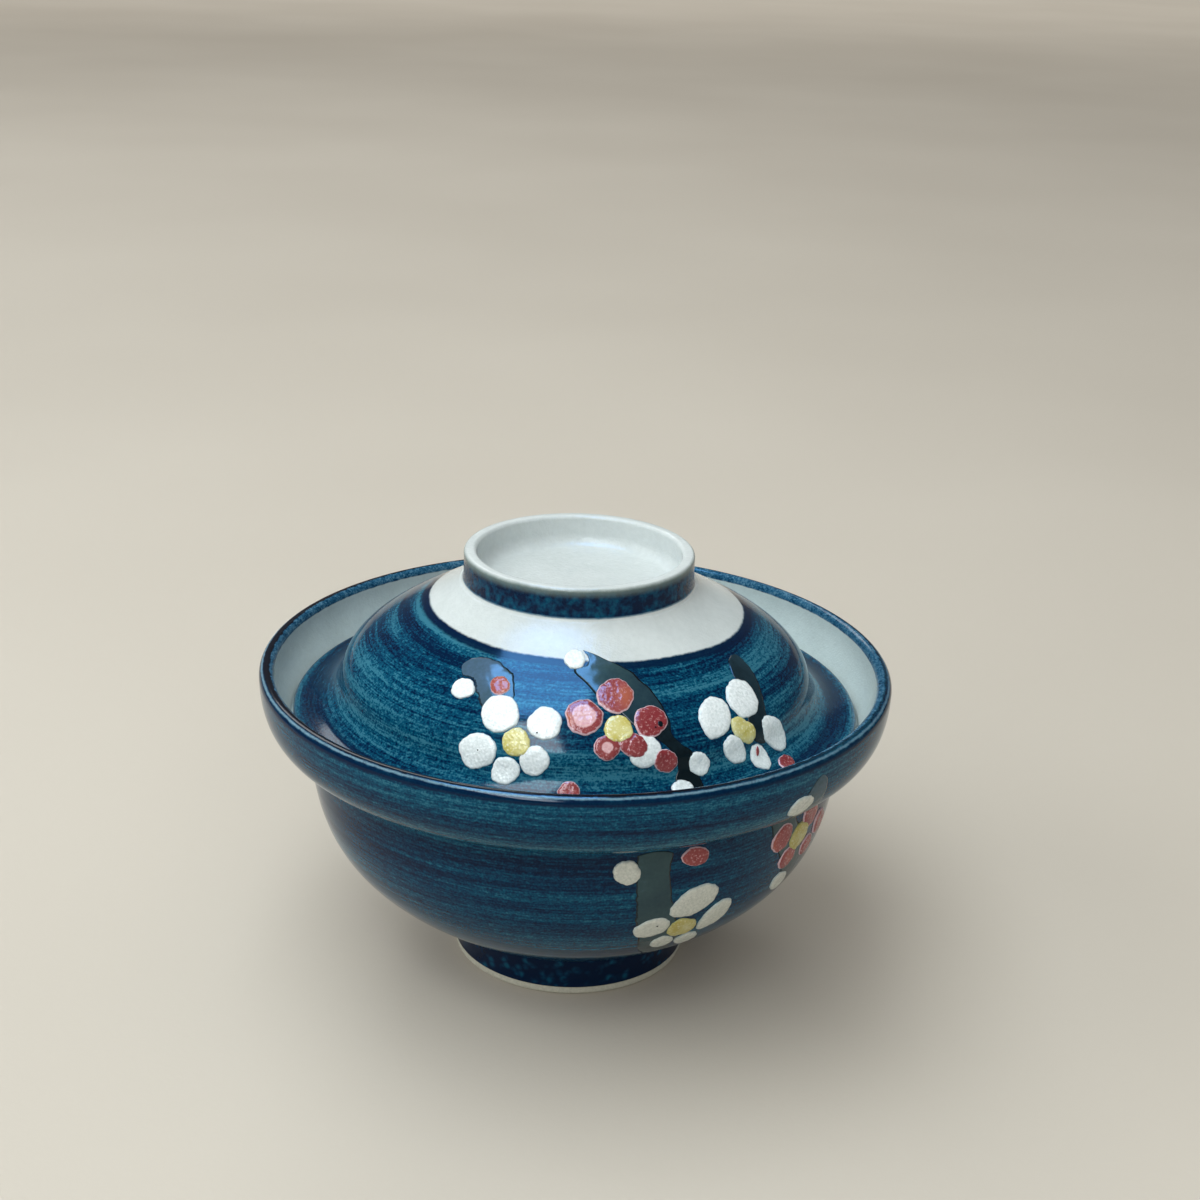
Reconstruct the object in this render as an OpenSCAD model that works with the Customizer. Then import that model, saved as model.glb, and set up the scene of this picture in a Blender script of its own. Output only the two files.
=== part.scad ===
// Donburi: a lidded bowl for rice topped with other food.
// The bowl is thrown with a foot ring, a round body and a flared rim, and its lid drops inside that
// rim onto a ledge. The lid has a ring on top, which is its handle and its foot when turned over.
// Plum blossom sprays in raised enamel lie on the glaze of both pieces.
// Origin: centre of the foot ring on the table. +Z is up and the front of the bowl faces -Y.

/* [Bowl] */
// Outer diameter of the rim
rim_d = 150; // [140:0.5:160]
// Height of the rim above the table
bowl_h = 75.8; // [68:0.1:84]
// Thickness of the rounded lip
lip_t = 3.5; // [2.5:0.1:4.5]
// How far the flared rim stands out past the top of the body, all round
flare_w = 11; // [9.5:0.1:13]
// How far below the ledge for the lid the flared rim springs from the body
flare_drop = 4.4; // [3:0.1:7]
// Thickness of the body wall
wall_t = 4; // [3:0.1:5]
// Thickness of the floor between the hollow and the foot recess
floor_t = 6; // [4:0.1:8]
// Diameter of the flat middle of the bowl's floor
floor_d = 28; // [16:0.5:40]

/* [Foot ring] */
// Outer diameter of the foot ring where it stands on the table
foot_d = 57; // [50:0.5:62]
// Outer diameter of the foot ring where it meets the body
foot_top_d = 59; // [54:0.5:64]
// Height of the foot ring outside
foot_h = 9.9; // [8:0.1:13]
// Thickness of the foot ring
foot_t = 4.2; // [3:0.1:6]
// Height of the recess inside the foot ring
recess_h = 7; // [4:0.1:8]
// Radius of the rounded edges the foot ring stands on
foot_edge_r = 0.8; // [0.4:0.1:1.2]

/* [Lid seat] */
// Depth of the ledge that carries the lid, below the top of the lip
seat_depth = 13.4; // [11:0.1:14]
// How far inside the rim the wall around the ledge stands, all round
seat_inset = 7; // [6.2:0.1:8]
// Radius of the hollow corner between the ledge and that wall
seat_fillet_r = 0.8; // [0.4:0.1:1]
// Radius of the ledge's rounded inner edge
ledge_edge_r = 1.2; // [0.6:0.1:2]

/* [Lid] */
// Clearance between the lid's edge and the wall around the ledge
lid_gap = 0.7; // [0.5:0.05:1.2]
// Thickness of the lid at its edge
edge_t = 3.7; // [3:0.1:4.5]
// Width of the brim, from the lid's edge in to where it turns up into the dome
brim_w = 11.5; // [10:0.1:13]
// Height of that turn above the ledge
waist_h = 10.8; // [9:0.1:13]
// Outer diameter of the dome's crown, around the ring
crown_d = 56; // [55.5:0.1:62]
// Height of the crown above the ledge
crown_h = 33.2; // [30:0.1:38]
// Thickness of the dome's wall
lid_wall_t = 3.5; // [2.8:0.1:4.5]
// Width of the flat face under the brim that the lid sits on
seat_face_w = 10.8; // [8:0.1:12]
// Thickness of the crown at its middle
crown_t = 4.8; // [3.5:0.1:6.5]

/* [Lid ring] */
// Outer diameter of the ring's top
ring_d = 54.2; // [50:0.1:55]
// Outer diameter of the ring's narrow root
ring_root_d = 54; // [50:0.1:55]
// Height of the ring above the crown
ring_h = 7.7; // [5:0.1:11]
// Thickness of the ring
ring_t = 3; // [2.2:0.1:3.8]
// Radius of the ring's rounded top edges
ring_edge_r = 0.9; // [0.4:0.1:1]
// Depth of the dish inside the ring
dish_h = 7.3; // [5.5:0.1:8.5]
// Radius of the hollow corner around the dish's floor
dish_fillet_r = 3; // [1:0.1:3.4]

/* [Enamel] */
// Diameter of a full petal
petal_d = 8; // [6:0.1:9]
// Thickness of the petals and flower centres
petal_t = 0.5; // [0.3:0.05:0.8]
// Width of a full branch
branch_w = 8; // [6:0.1:10]
// Thickness of the branches
branch_t = 0.2; // [0.1:0.05:0.4]
// Gap between neighbouring colours of enamel
colour_gap = 0.05; // [0.02:0.01:0.1]

/* [Hidden] */

// Steps along each curved stretch of an outline, and around each rounded edge
curve_steps = 12;
edge_steps = 6;
petal_sides = 20;
round_sides = 96;
// How far the columns that shape the enamel reach either side of the glaze
petal_reach = 3;
branch_reach = 6;

// The two bends of each curve, as shares of the way along and up between its ends
body_low_share = [0.81, 0.34];
body_high_share = [0.95, 0.505];
flare_low_share = [0.73, 0.12];
flare_high_share = [1, 0.43];
inside_low_share = [0.56, 0];
inside_high_share = [1, 0.42];
rim_wall_low_share = [0.4, 0.25];
rim_wall_high_share = [1, 0.56];
brim_low_share = [0.62, -0.04];
brim_high_share = [0.955, 0.44];
dome_low_share = [0.043, 0.464];
dome_high_share = [0.8, 0.75];
hollow_foot_low_share = [0.7, 0.05];
hollow_foot_high_share = [1, 0.5];
hollow_low_share = [0.03, 0.37];
hollow_high_share = [0.45, 0.86];
hollow_middle_share = 0.35;
foot_waist_share = 0.35;
foot_pinch_share = 0.15;
ring_bend_share = 0.4;
edge_round_share = 0.38;

rim_r = rim_d / 2;
lip_r = lip_t / 2;
crease_r = rim_r - flare_w;
seat_r = rim_r - seat_inset;
lid_r = seat_r - lid_gap;
waist_r = lid_r - brim_w;
ring_r = ring_d / 2;
ring_root_r = ring_root_d / 2;
edge_r = edge_t * edge_round_share;
seat_z = bowl_h - seat_depth;
crease_z = seat_z - flare_drop;
waist_z = seat_z + waist_h;
crown_z = seat_z + crown_h;
ring_top_z = crown_z + ring_h;
dish_z = ring_top_z - dish_h;
floor_z = recess_h + floor_t;
foot_inner_r = foot_d / 2 - foot_t;

// Where the curves begin and end, as radius and height
foot_top = [foot_top_d / 2, foot_h];
crease = [crease_r, crease_z];
lip_foot = [rim_r, bowl_h - lip_r];
lip_inside = [rim_r - lip_t, bowl_h - lip_r];
seat_wall = [seat_r, seat_z + seat_fillet_r];
ledge_foot = [crease_r - wall_t, crease_z];
floor_edge = [floor_d / 2, floor_z];
edge_top = [lid_r - edge_r, seat_z + edge_t];
waist = [waist_r, waist_z];
crown = [crown_d / 2, crown_z];
seat_face = [lid_r - seat_face_w, seat_z];
hollow_waist = [waist_r - lid_wall_t, waist_z];
hollow_top = [crown_d / 2 * hollow_middle_share, dish_z - crown_t];

// A point between two others, at a share of the way in radius and a share in height
function between(a, b, share) = [
    a[0] + (b[0] - a[0]) * share[0],
    a[1] + (b[1] - a[1]) * share[1]
];

// A curve from a to b that starts towards the low bend and ends away from the high one
function curve(a, b, low_share, high_share) =
    [a, between(a, b, low_share), between(a, b, high_share), b];

// The point, the direction and the outward side of a curve at a share of its length
function point_at(c, t) =
    pow(1 - t, 3) * c[0] + 3 * t * pow(1 - t, 2) * c[1]
    + 3 * t * t * (1 - t) * c[2] + pow(t, 3) * c[3];
function direction_at(c, t) =
    pow(1 - t, 2) * (c[1] - c[0]) + 2 * t * (1 - t) * (c[2] - c[1]) + t * t * (c[3] - c[2]);
function side_at(c, t) = let (d = direction_at(c, t)) [d[1], -d[0]] / norm(d);

// Points along a curve, lifted off it to its outward side
function run(c, lift = 0) = [
    for (i = [0:curve_steps])
        let (t = i / curve_steps) point_at(c, t) + lift * side_at(c, t)
];

// Points around a rounded edge, from one angle to another
function round_edge(centre, r, from, to) = [
    for (i = [0:edge_steps])
        let (a = from + (to - from) * i / edge_steps) centre + r * [cos(a), sin(a)]
];

// A list without its first point, so that joined runs share none, and a list turned round
function after_first(list) = [for (i = [1:len(list) - 1]) list[i]];
function backwards(list) = [for (i = [len(list) - 1:-1:0]) list[i]];

body_curve = curve(foot_top, crease, body_low_share, body_high_share);
flare_curve = curve(crease, lip_foot, flare_low_share, flare_high_share);
rim_wall_curve = curve(seat_wall, lip_inside, rim_wall_low_share, rim_wall_high_share);
inside_curve = curve(floor_edge, ledge_foot, inside_low_share, inside_high_share);
brim_curve = curve(edge_top, waist, brim_low_share, brim_high_share);
dome_curve = curve(waist, crown, dome_low_share, dome_high_share);
ring_curve = [
    crown, [ring_root_r, crown_z], [ring_root_r, crown_z + ring_h * ring_bend_share],
    [ring_r, ring_top_z - ring_edge_r]
];
hollow_foot_curve = curve(seat_face, hollow_waist, hollow_foot_low_share, hollow_foot_high_share);
hollow_curve = curve(hollow_waist, hollow_top, hollow_low_share, hollow_high_share);

// The outside of the bowl from foot to lip, and of the lid from edge to crown
BOWL_SIDE = [body_curve, flare_curve];
LID_SIDE = [brim_curve, dome_curve];

// Each blob of enamel: degrees around from the front, place up the side (below 1 on the first
// curve, above it on the second), length and width as shares of petal_d, and degrees of tilt
lid_white_shares = [
    [-31, 1.41, 0.74, 0.64, 154], [-18.2, 1.315, 1.16, 1.06, 138], [-6.6, 1.288, 1, 0.92, 108],
    [-21.3, 1.052, 1.08, 1, 20], [-8, 1.041, 0.84, 0.8, 22], [-14.3, 0.865, 0.8, 0.76, 30],
    [0.1, 1.704, 0.68, 0.6, 90], [16.8, 1.107, 0.98, 0.9, 150], [29.7, 0.902, 0.72, 0.62, 120],
    [24.5, 0.519, 0.62, 0.5, 172], [36.9, 1.243, 1.3, 1, 56], [47.9, 1.296, 1.26, 1.08, 60],
    [53.7, 0.968, 1.3, 0.84, 132], [39.8, 0.98, 0.96, 0.66, 128], [46.7, 0.667, 0.8, 0.66, 110],
    [172, 1.36, 1.1, 0.96, 30], [181, 1.46, 1, 0.9, 80], [189, 1.34, 1.06, 0.94, 150],
    [186, 1.12, 0.9, 0.84, 0], [175, 1.12, 0.94, 0.86, 20], [203, 1.5, 0.66, 0.6, 60],
    [162, 1.02, 0.62, 0.56, 10]
];
lid_red_shares = [
    [-21.1, 1.477, 0.66, 0.56, 127], [-0.1, 0.578, 0.62, 0.58, 0], [11.8, 1.464, 1.14, 1.02, 63],
    [3, 1.338, 1.08, 1.02, 82], [19.5, 1.291, 0.98, 0.92, 33], [8.2, 1.144, 0.72, 0.68, 44],
    [14.3, 1.15, 0.78, 0.66, 150], [21.5, 1.023, 0.7, 0.64, 134], [52.9, 0.365, 0.62, 0.5, 8],
    [199, 1.24, 0.9, 0.84, 40], [207, 1.3, 0.92, 0.84, 100], [211, 1.14, 0.86, 0.8, 10],
    [205, 1.0, 0.78, 0.72, 160], [197, 1.05, 0.78, 0.72, 20], [167, 1.24, 0.56, 0.52, 0]
];
lid_yellow_shares = [
    [-12.6, 1.151, 0.8, 0.76, 150], [11.2, 1.26, 0.82, 0.76, 60], [43.4, 1.106, 0.96, 0.64, 122],
    [180.6, 1.27, 0.78, 0.72, 0], [203.8, 1.14, 0.68, 0.62, 30]
];
bowl_white_shares = [
    [11.7, 0.913, 0.82, 0.74, 140], [27.2, 0.727, 1.5, 1.06, 24], [34, 0.59, 1.34, 0.86, 62],
    [18.7, 0.593, 1.06, 0.9, 20], [23, 0.439, 0.84, 0.7, 110], [29.9, 0.414, 0.9, 0.72, 120],
    [42.6, 1.619, 0.94, 0.72, 10], [53.2, 0.635, 0.86, 0.7, 140],
    [196, 0.84, 1.1, 0.96, 20], [205.5, 0.79, 1.06, 0.9, 80], [204, 0.59, 1, 0.88, 140],
    [194, 0.57, 1.02, 0.9, 30], [187.5, 0.7, 1.02, 0.92, 90], [214, 0.92, 0.7, 0.62, 0],
    [180, 0.52, 0.66, 0.6, 0]
];
bowl_red_shares = [
    [25.7, 0.944, 0.84, 0.62, 166], [48.8, 0.897, 0.96, 0.86, 25], [59.4, 0.92, 0.96, 0.84, 160],
    [52.7, 0.776, 0.84, 0.76, 162], [66.2, 0.835, 0.92, 0.82, 150], [61.1, 0.765, 0.8, 0.72, 150],
    [220, 0.72, 0.9, 0.84, 0], [228, 0.76, 0.92, 0.84, 60], [230, 0.6, 0.86, 0.8, 120],
    [224, 0.5, 0.82, 0.78, 10], [216.5, 0.57, 0.84, 0.78, 60]
];
bowl_yellow_shares = [
    [26.2, 0.553, 1, 0.84, 130], [55.6, 0.858, 1.04, 0.84, 168],
    [196.6, 0.705, 0.8, 0.74, 0], [223, 0.64, 0.7, 0.66, 30]
];

// Each branch, from root to tip: degrees around, place up the side, and width as a share of
// branch_w
lid_branch_shares = [
    [[-29, 1.62, 1.05], [-27, 1.53, 1.02], [-24, 1.42, 0.72], [-21, 1.3, 0.6]],
    [[3.4, 1.78, 0.08], [6, 1.7, 0.7], [11, 1.63, 1.02], [16, 1.5, 1.12], [19.6, 1.36, 1],
     [21.4, 1.2, 0.9], [24.6, 1.04, 0.86]],
    [[55.6, 1.6, 0.2], [55.2, 1.53, 0.56], [53.4, 1.4, 0.8], [51, 1.26, 0.72],
     [49.4, 1.12, 0.56], [49.2, 1.03, 0.4]],
    [[158, 1.66, 0.1], [162, 1.56, 0.7], [169, 1.44, 0.9], [177, 1.34, 0.8], [184, 1.22, 0.66],
     [190, 1.1, 0.5]],
    [[216, 1.6, 0.16], [213, 1.48, 0.66], [209, 1.34, 0.7], [204, 1.2, 0.56], [201, 1.06, 0.4]]
];
lid_brim_branch_shares = [
    [[24.8, 0.97, 0.86], [26, 0.76, 0.8], [27, 0.5, 0.68]],
    [[49.2, 0.97, 0.36], [49.6, 0.7, 0.3]]
];
bowl_branch_shares = [
    [[17, 0.975, 0.96], [17.4, 0.86, 0.98], [18, 0.72, 0.98], [19.6, 0.56, 1.02], [22, 0.38, 1],
     [25, 0.27, 0.7]],
    [[47.6, 0.97, 0.8], [51, 0.88, 0.8], [54.6, 0.78, 0.86], [57, 0.66, 0.8], [57.4, 0.55, 0.56]],
    [[209, 0.97, 0.8], [205, 0.84, 0.86], [200, 0.7, 0.8], [195, 0.56, 0.66], [191, 0.44, 0.3]],
    [[233, 0.9, 0.3], [230, 0.8, 0.7], [226, 0.68, 0.76], [221, 0.54, 0.6], [218, 0.42, 0.3]]
];
bowl_flare_branch_shares = [
    [[46.4, 1.9, 0.2], [46, 1.8, 0.7], [45.6, 1.6, 0.86], [46, 1.4, 0.8]],
    [[211, 1.66, 0.3], [210.4, 1.54, 0.7], [210, 1.4, 0.76]]
];

// Point, outward side and degrees of lean of a side's outline at a place on it
function place_point(sides, s) = s < 1 ? point_at(sides[0], s) : point_at(sides[1], s - 1);
function place_side(sides, s) = s < 1 ? side_at(sides[0], s) : side_at(sides[1], s - 1);
function lean(sides, s) = let (n = place_side(sides, s)) atan2(n[0], n[1]);

// A place on a side as a point in space, turned from the front of the bowl
function spot(sides, turn, s) =
    let (p = place_point(sides, s)) [p[0] * sin(turn), -p[0] * cos(turn), p[1]];

// Distances down and across from one place on a side to another, in the flat of the first
function across(sides, home, turn, s) =
    let (
        n = place_side(sides, home[1]),
        step = spot(sides, turn, s) - spot(sides, home[0], home[1]),
        out = step[0] * sin(home[0]) - step[1] * cos(home[0])
    )
    [out * n[1] - step[2] * n[0], step[0] * cos(home[0]) + step[1] * sin(home[0])];

// The children stand on a side at a place, with Z straight out of it and Y across
module on_side(sides, turn, s) {
    p = place_point(sides, s);
    rotate([0, 0, turn - 90])
        translate([p[0], 0, p[1]])
            rotate([0, lean(sides, s), 0])
                children();
}

// Upright columns in the outlines of the petals, each grown by a margin
module petal_columns(sides, places, margin = 0) {
    for (b = places) {
        length = b[2] * petal_d / 2 + margin;
        width = b[3] * petal_d / 2 + margin;
        outline = [
            for (i = [0:petal_sides - 1])
                let (a = 360 * i / petal_sides) [width * sin(a), length * cos(a)]
        ];
        on_side(sides, b[0], b[1])
            rotate([0, 0, b[4]])
                translate([0, 0, -petal_reach])
                    linear_extrude(2 * petal_reach)
                        polygon(outline);
    }
}

// Upright columns in the outlines of the branches
module branch_columns(sides, routes) {
    for (route = routes) {
        home = route[floor(len(route) / 2)];
        path = [for (b = route) across(sides, home, b[0], b[1])];
        ends = len(path) - 1;
        normals = [
            for (i = [0:ends])
                let (d = path[min(i + 1, ends)] - path[max(i - 1, 0)]) [-d[1], d[0]] / norm(d)
        ];
        left = [for (i = [0:ends]) path[i] + normals[i] * route[i][2] * branch_w / 2];
        right = [for (i = [0:ends]) path[i] - normals[i] * route[i][2] * branch_w / 2];
        on_side(sides, home[0], home[1])
            translate([0, 0, -branch_reach])
                linear_extrude(2 * branch_reach)
                    polygon(concat(left, backwards(right)));
    }
}

// A skin of enamel over one curve of a side
module skin(c, thickness) {
    rotate_extrude($fn = round_sides)
        polygon(concat(run(c), backwards(run(c, thickness))));
}

// A skin of enamel over both curves of the lid's top, which run into each other smoothly
module lid_skin(thickness) {
    rotate_extrude($fn = round_sides)
        polygon(concat(
            run(brim_curve), after_first(run(dome_curve)),
            backwards(run(dome_curve, thickness)), after_first(backwards(run(brim_curve, thickness)))
        ));
}

// Petals of one colour on the bowl, cut clear of the colours that lie over them
module bowl_petals(places, over = []) {
    difference() {
        intersection() {
            union() {
                skin(body_curve, petal_t);
                skin(flare_curve, petal_t);
            }
            petal_columns(BOWL_SIDE, places);
        }
        petal_columns(BOWL_SIDE, over, colour_gap);
    }
}

// Petals of one colour on the lid, cut clear of the colours that lie over them
module lid_petals(places, over = []) {
    difference() {
        intersection() {
            lid_skin(petal_t);
            petal_columns(LID_SIDE, places);
        }
        petal_columns(LID_SIDE, over, colour_gap);
    }
}

module bowl() {
    outline = concat(
        [[0, recess_h]],
        round_edge([foot_inner_r - foot_edge_r, recess_h - foot_edge_r], foot_edge_r, 90, 0),
        round_edge([foot_inner_r + foot_edge_r, foot_edge_r], foot_edge_r, 180, 270),
        round_edge([foot_d / 2 - foot_edge_r, foot_edge_r], foot_edge_r, 270, 360),
        [[foot_d / 2 - (foot_top_d - foot_d) * foot_pinch_share, foot_h * foot_waist_share]],
        run(body_curve),
        after_first(run(flare_curve)),
        after_first(round_edge([rim_r - lip_r, bowl_h - lip_r], lip_r, 0, 180)),
        after_first(backwards(run(rim_wall_curve))),
        after_first(round_edge(seat_wall - [seat_fillet_r, 0], seat_fillet_r, 0, -90)),
        round_edge(
            [ledge_foot[0] + ledge_edge_r, seat_z - ledge_edge_r], ledge_edge_r, 90, 180
        ),
        backwards(run(inside_curve)),
        [[0, floor_z]]
    );
    color("#1d4a5e") rotate_extrude($fn = round_sides) polygon(outline);
}

module bowl_branches() {
    color("#4b5560") difference() {
        intersection() {
            union() {
                skin(body_curve, branch_t);
                skin(flare_curve, branch_t);
            }
            union() {
                branch_columns(BOWL_SIDE, bowl_branch_shares);
                branch_columns(BOWL_SIDE, bowl_flare_branch_shares);
            }
        }
        petal_columns(BOWL_SIDE, bowl_white_shares, colour_gap);
        petal_columns(BOWL_SIDE, bowl_red_shares, colour_gap);
        petal_columns(BOWL_SIDE, bowl_yellow_shares, colour_gap);
    }
}

module bowl_white_petals() {
    color("#dfe3dc") bowl_petals(bowl_white_shares, concat(bowl_red_shares, bowl_yellow_shares));
}

module bowl_red_petals() {
    color("#a8444a") bowl_petals(bowl_red_shares, bowl_yellow_shares);
}

module bowl_yellow_centres() {
    color("#dccb6a") bowl_petals(bowl_yellow_shares);
}

module lid() {
    outline = concat(
        [[0, hollow_top[1]]],
        backwards(run(hollow_curve)),
        after_first(backwards(run(hollow_foot_curve))),
        round_edge([lid_r - edge_r, seat_z + edge_r], edge_r, 270, 360),
        round_edge(edge_top - [0, edge_r], edge_r, 0, 90),
        after_first(run(brim_curve)),
        after_first(run(dome_curve)),
        after_first(run(ring_curve)),
        after_first(round_edge([ring_r - ring_edge_r, ring_top_z - ring_edge_r], ring_edge_r, 0, 90)),
        round_edge(
            [ring_r - ring_t + ring_edge_r, ring_top_z - ring_edge_r], ring_edge_r, 90, 180
        ),
        round_edge(
            [ring_root_r - ring_t - dish_fillet_r, dish_z + dish_fillet_r], dish_fillet_r, 0, -90
        ),
        [[0, dish_z]]
    );
    color("#1d4a5e") rotate_extrude($fn = round_sides) polygon(outline);
}

module lid_branches() {
    color("#3b444c") difference() {
        intersection() {
            lid_skin(branch_t);
            union() {
                branch_columns(LID_SIDE, lid_branch_shares);
                branch_columns(LID_SIDE, lid_brim_branch_shares);
            }
        }
        petal_columns(LID_SIDE, lid_white_shares, colour_gap);
        petal_columns(LID_SIDE, lid_red_shares, colour_gap);
        petal_columns(LID_SIDE, lid_yellow_shares, colour_gap);
    }
}

module lid_white_petals() {
    color("#dfe3dc") lid_petals(lid_white_shares, concat(lid_red_shares, lid_yellow_shares));
}

module lid_red_petals() {
    color("#a8444a") lid_petals(lid_red_shares, lid_yellow_shares);
}

module lid_yellow_centres() {
    color("#dccb6a") lid_petals(lid_yellow_shares);
}

bowl();
bowl_branches();
bowl_white_petals();
bowl_red_petals();
bowl_yellow_centres();
lid();
lid_branches();
lid_white_petals();
lid_red_petals();
lid_yellow_centres();
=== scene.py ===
import math
import random

import bpy
import numpy as np
from mathutils import Matrix, Vector


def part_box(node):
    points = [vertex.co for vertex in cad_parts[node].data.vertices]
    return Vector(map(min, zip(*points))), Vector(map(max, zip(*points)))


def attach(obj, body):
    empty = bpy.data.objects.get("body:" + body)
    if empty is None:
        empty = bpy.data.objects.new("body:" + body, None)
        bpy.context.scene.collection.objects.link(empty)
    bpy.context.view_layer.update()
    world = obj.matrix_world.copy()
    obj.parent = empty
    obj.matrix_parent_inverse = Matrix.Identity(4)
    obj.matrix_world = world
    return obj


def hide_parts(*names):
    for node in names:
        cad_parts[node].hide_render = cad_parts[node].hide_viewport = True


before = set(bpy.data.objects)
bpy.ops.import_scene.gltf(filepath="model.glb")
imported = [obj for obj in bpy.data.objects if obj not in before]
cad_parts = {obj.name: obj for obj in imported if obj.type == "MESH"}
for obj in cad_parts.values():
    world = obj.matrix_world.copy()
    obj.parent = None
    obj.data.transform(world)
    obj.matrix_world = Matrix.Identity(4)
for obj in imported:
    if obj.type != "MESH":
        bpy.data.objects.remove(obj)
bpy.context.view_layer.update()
scene = bpy.context.scene

# Sizes, in metres

MM = 0.001
BOWL_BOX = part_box("bowl")
LID_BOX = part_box("lid")

RIM_R = BOWL_BOX[1].x
BOWL_H = BOWL_BOX[1].z
LID_R = LID_BOX[1].x
SEAT_Z = LID_BOX[0].z
RING_TOP_Z = LID_BOX[1].z

LIP_T = 3.5 * MM
FLARE_W = 11 * MM
FLARE_DROP = 4.4 * MM
WALL_T = 4 * MM
FLOOR_T = 6 * MM
FLOOR_R = 14 * MM
FOOT_R = 28.5 * MM
FOOT_TOP_R = 29.5 * MM
FOOT_H = 9.9 * MM
FOOT_T = 4.2 * MM
RECESS_H = 7 * MM
FOOT_EDGE_R = 0.8 * MM
SEAT_INSET = 7 * MM
SEAT_FILLET_R = 0.8 * MM
LEDGE_EDGE_R = 1.2 * MM
EDGE_T = 3.7 * MM
EDGE_R = EDGE_T * 0.38
BRIM_W = 11.5 * MM
WAIST_H = 10.8 * MM
CROWN_R = 28 * MM
LID_WALL_T = 3.5 * MM
SEAT_FACE_W = 10.8 * MM
CROWN_T = 4.8 * MM
RING_R = 27.1 * MM
RING_ROOT_R = 27 * MM
RING_H = 7.7 * MM
RING_T = 3 * MM
RING_EDGE_R = 0.9 * MM
DISH_H = 7.3 * MM
DISH_FILLET_R = 3 * MM
PETAL_D = 8 * MM
PETAL_T = 0.5 * MM
BRANCH_T = 0.12 * MM
SPECK_T = 0.1 * MM

# Shares of a height or a radius where an outline bends
FOOT_PINCH = 0.15
FOOT_WAIST = 0.45
FOOT_SHOULDER = 0.86
RING_ROOT = 0.4
HOLLOW_FLAT = 0.35

# Glaze on the foot ring stops this high above the table, and stands this proud of the bare clay
BARE_H = 2.1 * MM
GLAZE_T = 0.16 * MM

# The pale disc on the lid isn't quite centred on the ring
DISC_PLACE = (1.93 * MM, 0.77 * MM)
DISC_R = 37.3 * MM

# Depth of the throwing marks, and of the enamel's underside below the glaze
THROWING_DEPTH = 0.05 * MM
BLOB_ROOT_T = 0.12 * MM
BRANCH_ROOT_T = 0.1 * MM

# How high the edge of a blob stands over the glaze, and how far it strays from an ellipse
BLOB_RIM_T = 0.03 * MM
BLOB_STRAY = 0.05

# How far a blob sinks into those under it, as a share of their height
BLOB_SUNK = 0.45

# How finely the meshes are cut
SIDES = 320
SIDE_STEPS = 400
BLOB_RINGS = 13
BLOB_SPOKES = 64
BRANCH_CELLS = 16
BRANCH_ROWS = 110

SEED = 11


def curve(a, b, low, high):
    """A cubic curve from a to b, with its two bends as shares of the way in radius and height."""
    a, b = np.array(a, float), np.array(b, float)
    return np.array([a, a + (b - a) * np.array(low), a + (b - a) * np.array(high), b])


def run(c, steps):
    """Points along a cubic curve."""
    t = np.linspace(0, 1, steps + 1)[:, None]
    return (1 - t) ** 3 * c[0] + 3 * t * (1 - t) ** 2 * c[1] + 3 * t * t * (1 - t) * c[2] + t ** 3 * c[3]


def arc(centre, r, start, end, steps):
    """Points round a rounded edge, from one angle to another."""
    a = np.radians(np.linspace(start, end, steps + 1))
    return np.array(centre) + r * np.stack([np.cos(a), np.sin(a)], 1)


def straight(a, b, steps):
    """Points along a straight stretch, without its last one."""
    t = np.linspace(0, 1, steps, endpoint=False)[:, None]
    return np.array(a, float) * (1 - t) + np.array(b, float) * t


crease_r = RIM_R - FLARE_W
crease_z = SEAT_Z - FLARE_DROP
seat_r = RIM_R - SEAT_INSET
waist = (LID_R - BRIM_W, SEAT_Z + WAIST_H)
crown_z = RING_TOP_Z - RING_H
dish_z = RING_TOP_Z - DISH_H
floor_z = RECESS_H + FLOOR_T
lip_r = LIP_T / 2
bare_r = FOOT_R - GLAZE_T
hollow_top = (CROWN_R * HOLLOW_FLAT, dish_z - CROWN_T)
hollow_waist = (waist[0] - LID_WALL_T, waist[1])

# The curves of both outlines: their outer bends are fitted to the photo's silhouette
BODY = curve((FOOT_TOP_R, FOOT_H), (crease_r, crease_z), (0.81, 0.34), (0.95, 0.505))
FLARE = curve((crease_r, crease_z), (RIM_R, BOWL_H - lip_r), (0.73, 0.12), (1, 0.43))
RIM_WALL = curve((seat_r, SEAT_Z + SEAT_FILLET_R), (RIM_R - LIP_T, BOWL_H - lip_r), (0.4, 0.25), (1, 0.56))
INSIDE = curve((FLOOR_R, floor_z), (crease_r - WALL_T, crease_z), (0.56, 0), (1, 0.42))
BRIM = curve((LID_R - EDGE_R, SEAT_Z + EDGE_T), waist, (0.62, -0.04), (0.955, 0.44))
DOME = curve(waist, (CROWN_R, crown_z), (0.043, 0.464), (0.8, 0.75))
RING_WALL = np.array([
    (CROWN_R, crown_z), (RING_ROOT_R, crown_z), (RING_ROOT_R, crown_z + RING_H * RING_ROOT),
    (RING_R, RING_TOP_Z - RING_EDGE_R)
])
HOLLOW_FOOT = curve((LID_R - SEAT_FACE_W, SEAT_Z), hollow_waist, (0.7, 0.05), (1, 0.5))
HOLLOW = curve(hollow_waist, hollow_top, (0.03, 0.37), (0.45, 0.86))


def lengths(points):
    """The length along a line of points at each of them."""
    return np.concatenate([[0], np.cumsum(np.hypot(*np.diff(points, axis=0).T))])


def joined(stretches):
    """One outline from named stretches of points, and the length along it where each one starts."""
    points, starts = [], {}
    for name, stretch in stretches:
        starts[name] = len(points)
        for p in stretch:
            if not points or np.hypot(*(p - points[-1])) > 0.002 * MM:
                points.append(np.array(p, float))
    points = np.array(points)
    along = lengths(points)
    return points, along, {name: float(along[min(k, len(along) - 1)]) for name, k in starts.items()}


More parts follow.
